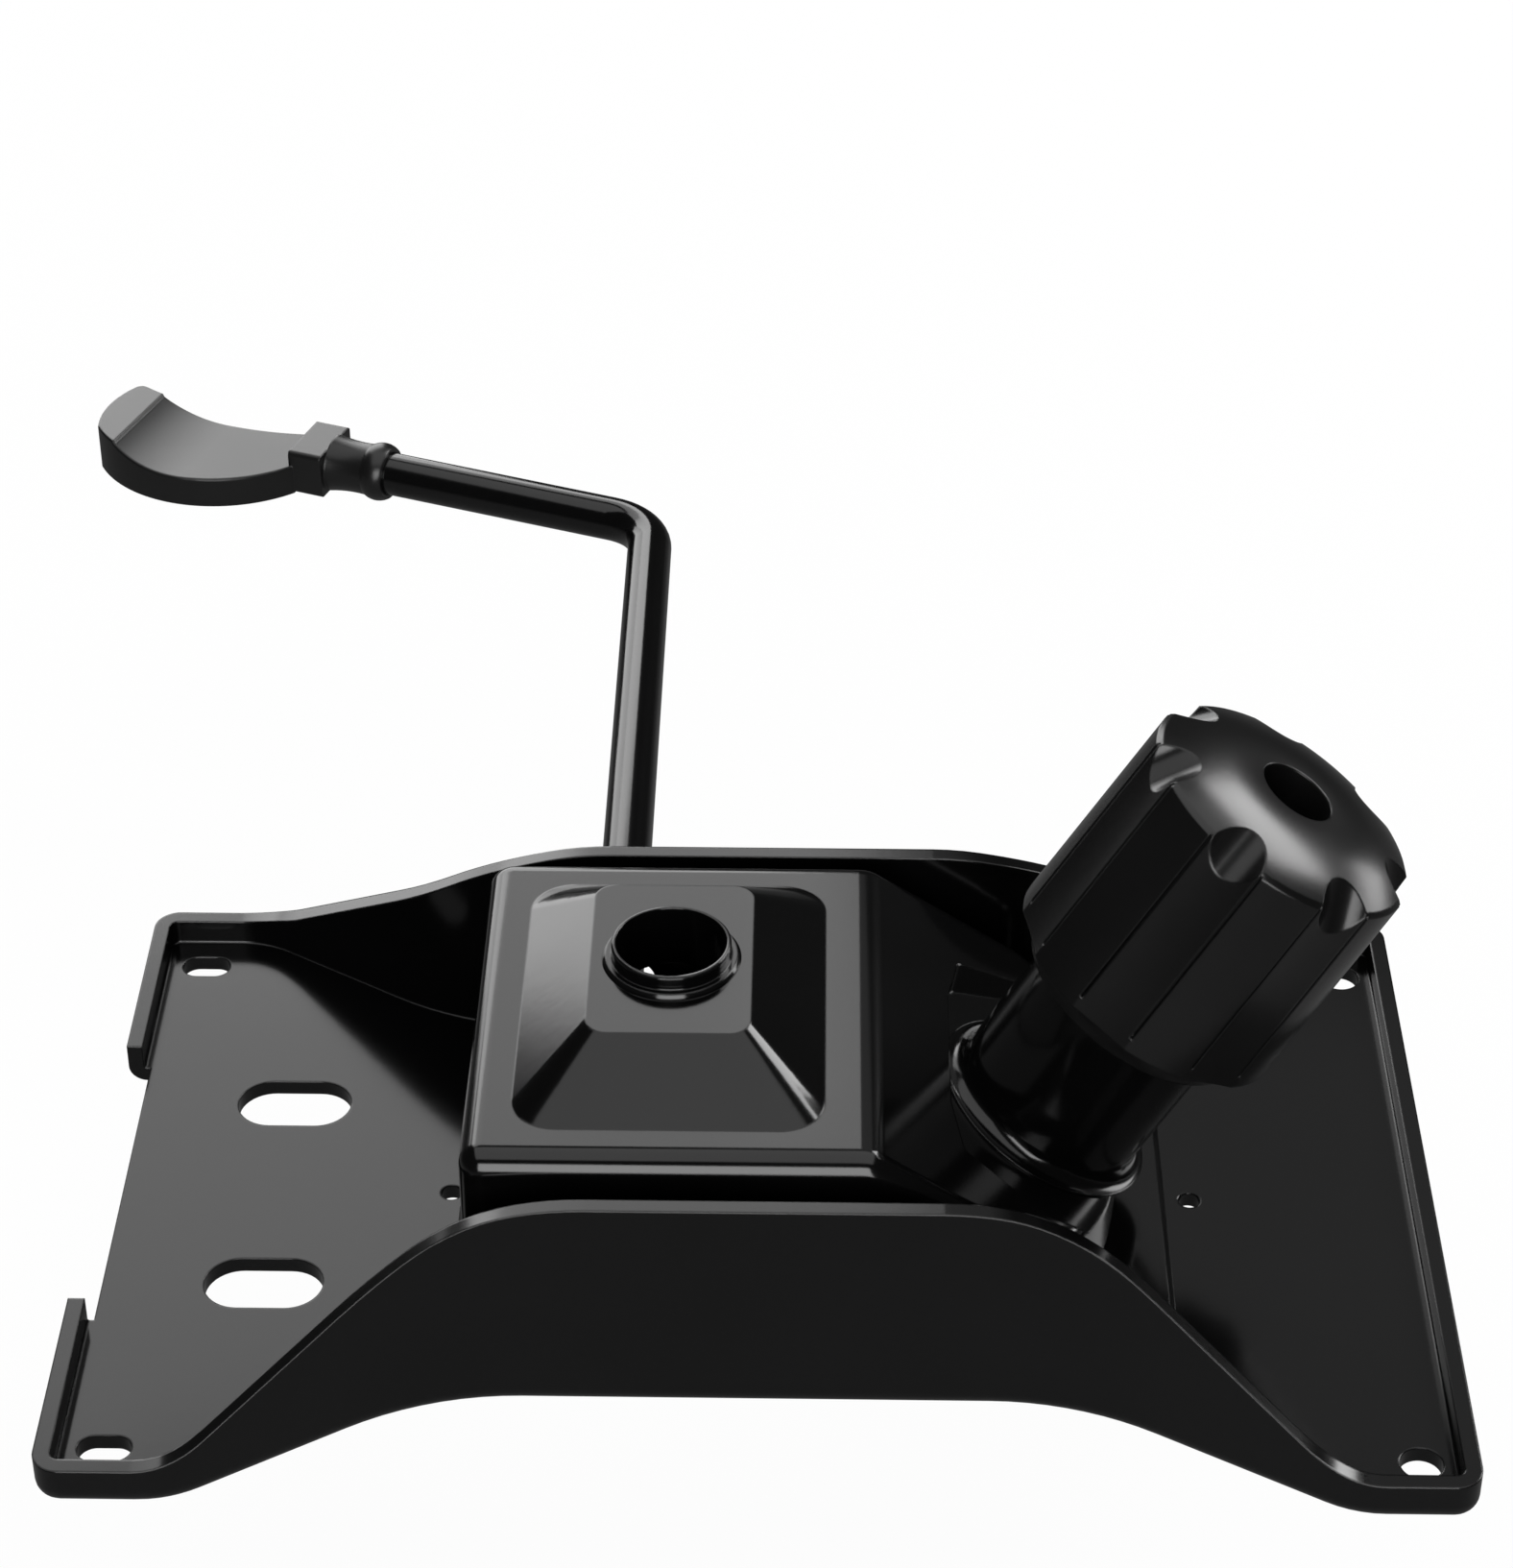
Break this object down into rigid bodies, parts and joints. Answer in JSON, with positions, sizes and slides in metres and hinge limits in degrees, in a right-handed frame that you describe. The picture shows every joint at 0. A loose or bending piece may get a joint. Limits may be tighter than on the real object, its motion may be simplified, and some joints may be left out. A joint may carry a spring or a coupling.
{
  "type": "office chair tilt mechanism",
  "caption": "Centre-tilt chair mechanism: waisted pressed seat plate with tall flanges, tilting housing with gas-lift socket, tension knob on a leaning spring tube, and a bent height lever.",
  "frame": {"origin": "middle of the seat plate, on the face that meets the seat", "axes": "+X to the front of the chair and the tension knob, +Y to the lever side, +Z away from the seat towards the gas lift"},
  "size_m": [0.327, 0.4069, 0.1206],
  "materials": {
    "black_paint": "gloss black paint",
    "zinc_steel": "zinc plated",
    "black_plastic": "satin moulded",
    "bush_plastic": "natural nylon",
    "black_rubber": "matte"
  },
  "bodies": {
    "seat_side": {"seat_plate": "black_paint", "doubler_plate": "black_paint", "pivot_ears": "black_paint", "pivot_pins": "zinc_steel", "pivot_clips": "zinc_steel", "pivot_washers": "zinc_steel", "tension_anchor": "black_paint", "lock_plate": "black_paint", "tilt_stops": "black_rubber", "rest_bumpers": "black_rubber"},
    "housing": {"housing_shell": "black_paint", "taper_sleeve": "black_paint", "cross_bracket": "black_paint", "lever_bushes": "bush_plastic", "pivot_bushes": "bush_plastic", "spring_tube": "black_paint", "tension_spring": "zinc_steel"},
    "bolt": {"tension_bolt": "zinc_steel"},
    "spring_seat": {"spring_seat_washer": "zinc_steel", "thrust_washer": "zinc_steel"},
    "knob": {"knob": "black_plastic", "knob_nut": "zinc_steel"},
    "lever_carrier": {"lever_clips": "zinc_steel"},
    "lever": {"lever_rod": "black_paint", "valve_arm": "black_plastic", "lever_handle": "black_plastic"}
  },
  "joints": [
    {"name": "tilt", "type": "hinge", "parent": "seat_side", "child": "housing", "pos_m": [-0.015, 0, 0.018], "axis": [0, -1, 0], "range_deg": [0, 12], "stiffness_Nm_per_rad": 30, "springref_deg": -17.19, "deforming": ["tension_spring"]},
    {"name": "bolt_slide", "type": "slide", "parent": "housing", "child": "bolt", "axis": [0.5, 0, 0.866], "range_m": [-0.013, 0]},
    {"name": "preload_slide", "type": "slide", "parent": "bolt", "child": "spring_seat", "axis": [0.5, 0, 0.866], "range_m": [-0.01, 0]},
    {"name": "knob_turn", "type": "hinge", "parent": "spring_seat", "child": "knob", "pos_m": [0.0743, 0, 0.0554], "axis": [0.5, 0, 0.866], "range_deg": [0, 1800]},
    {"name": "lever_slide", "type": "slide", "parent": "housing", "child": "lever_carrier", "axis": [0, -1, 0], "range_m": [0, 0.0101]},
    {"name": "lever_turn", "type": "hinge", "parent": "lever_carrier", "child": "lever", "pos_m": [-0.0333, 0, 0.016], "axis": [0, -1, 0], "range_deg": [0, 12]}
  ],
  "couplings": [
    {"joint": "bolt_slide", "follows": "tilt", "m_per_rad": -0.0618},
    {"joint": "preload_slide", "follows": "knob_turn", "m_per_rad": -0.000318}
  ]
}
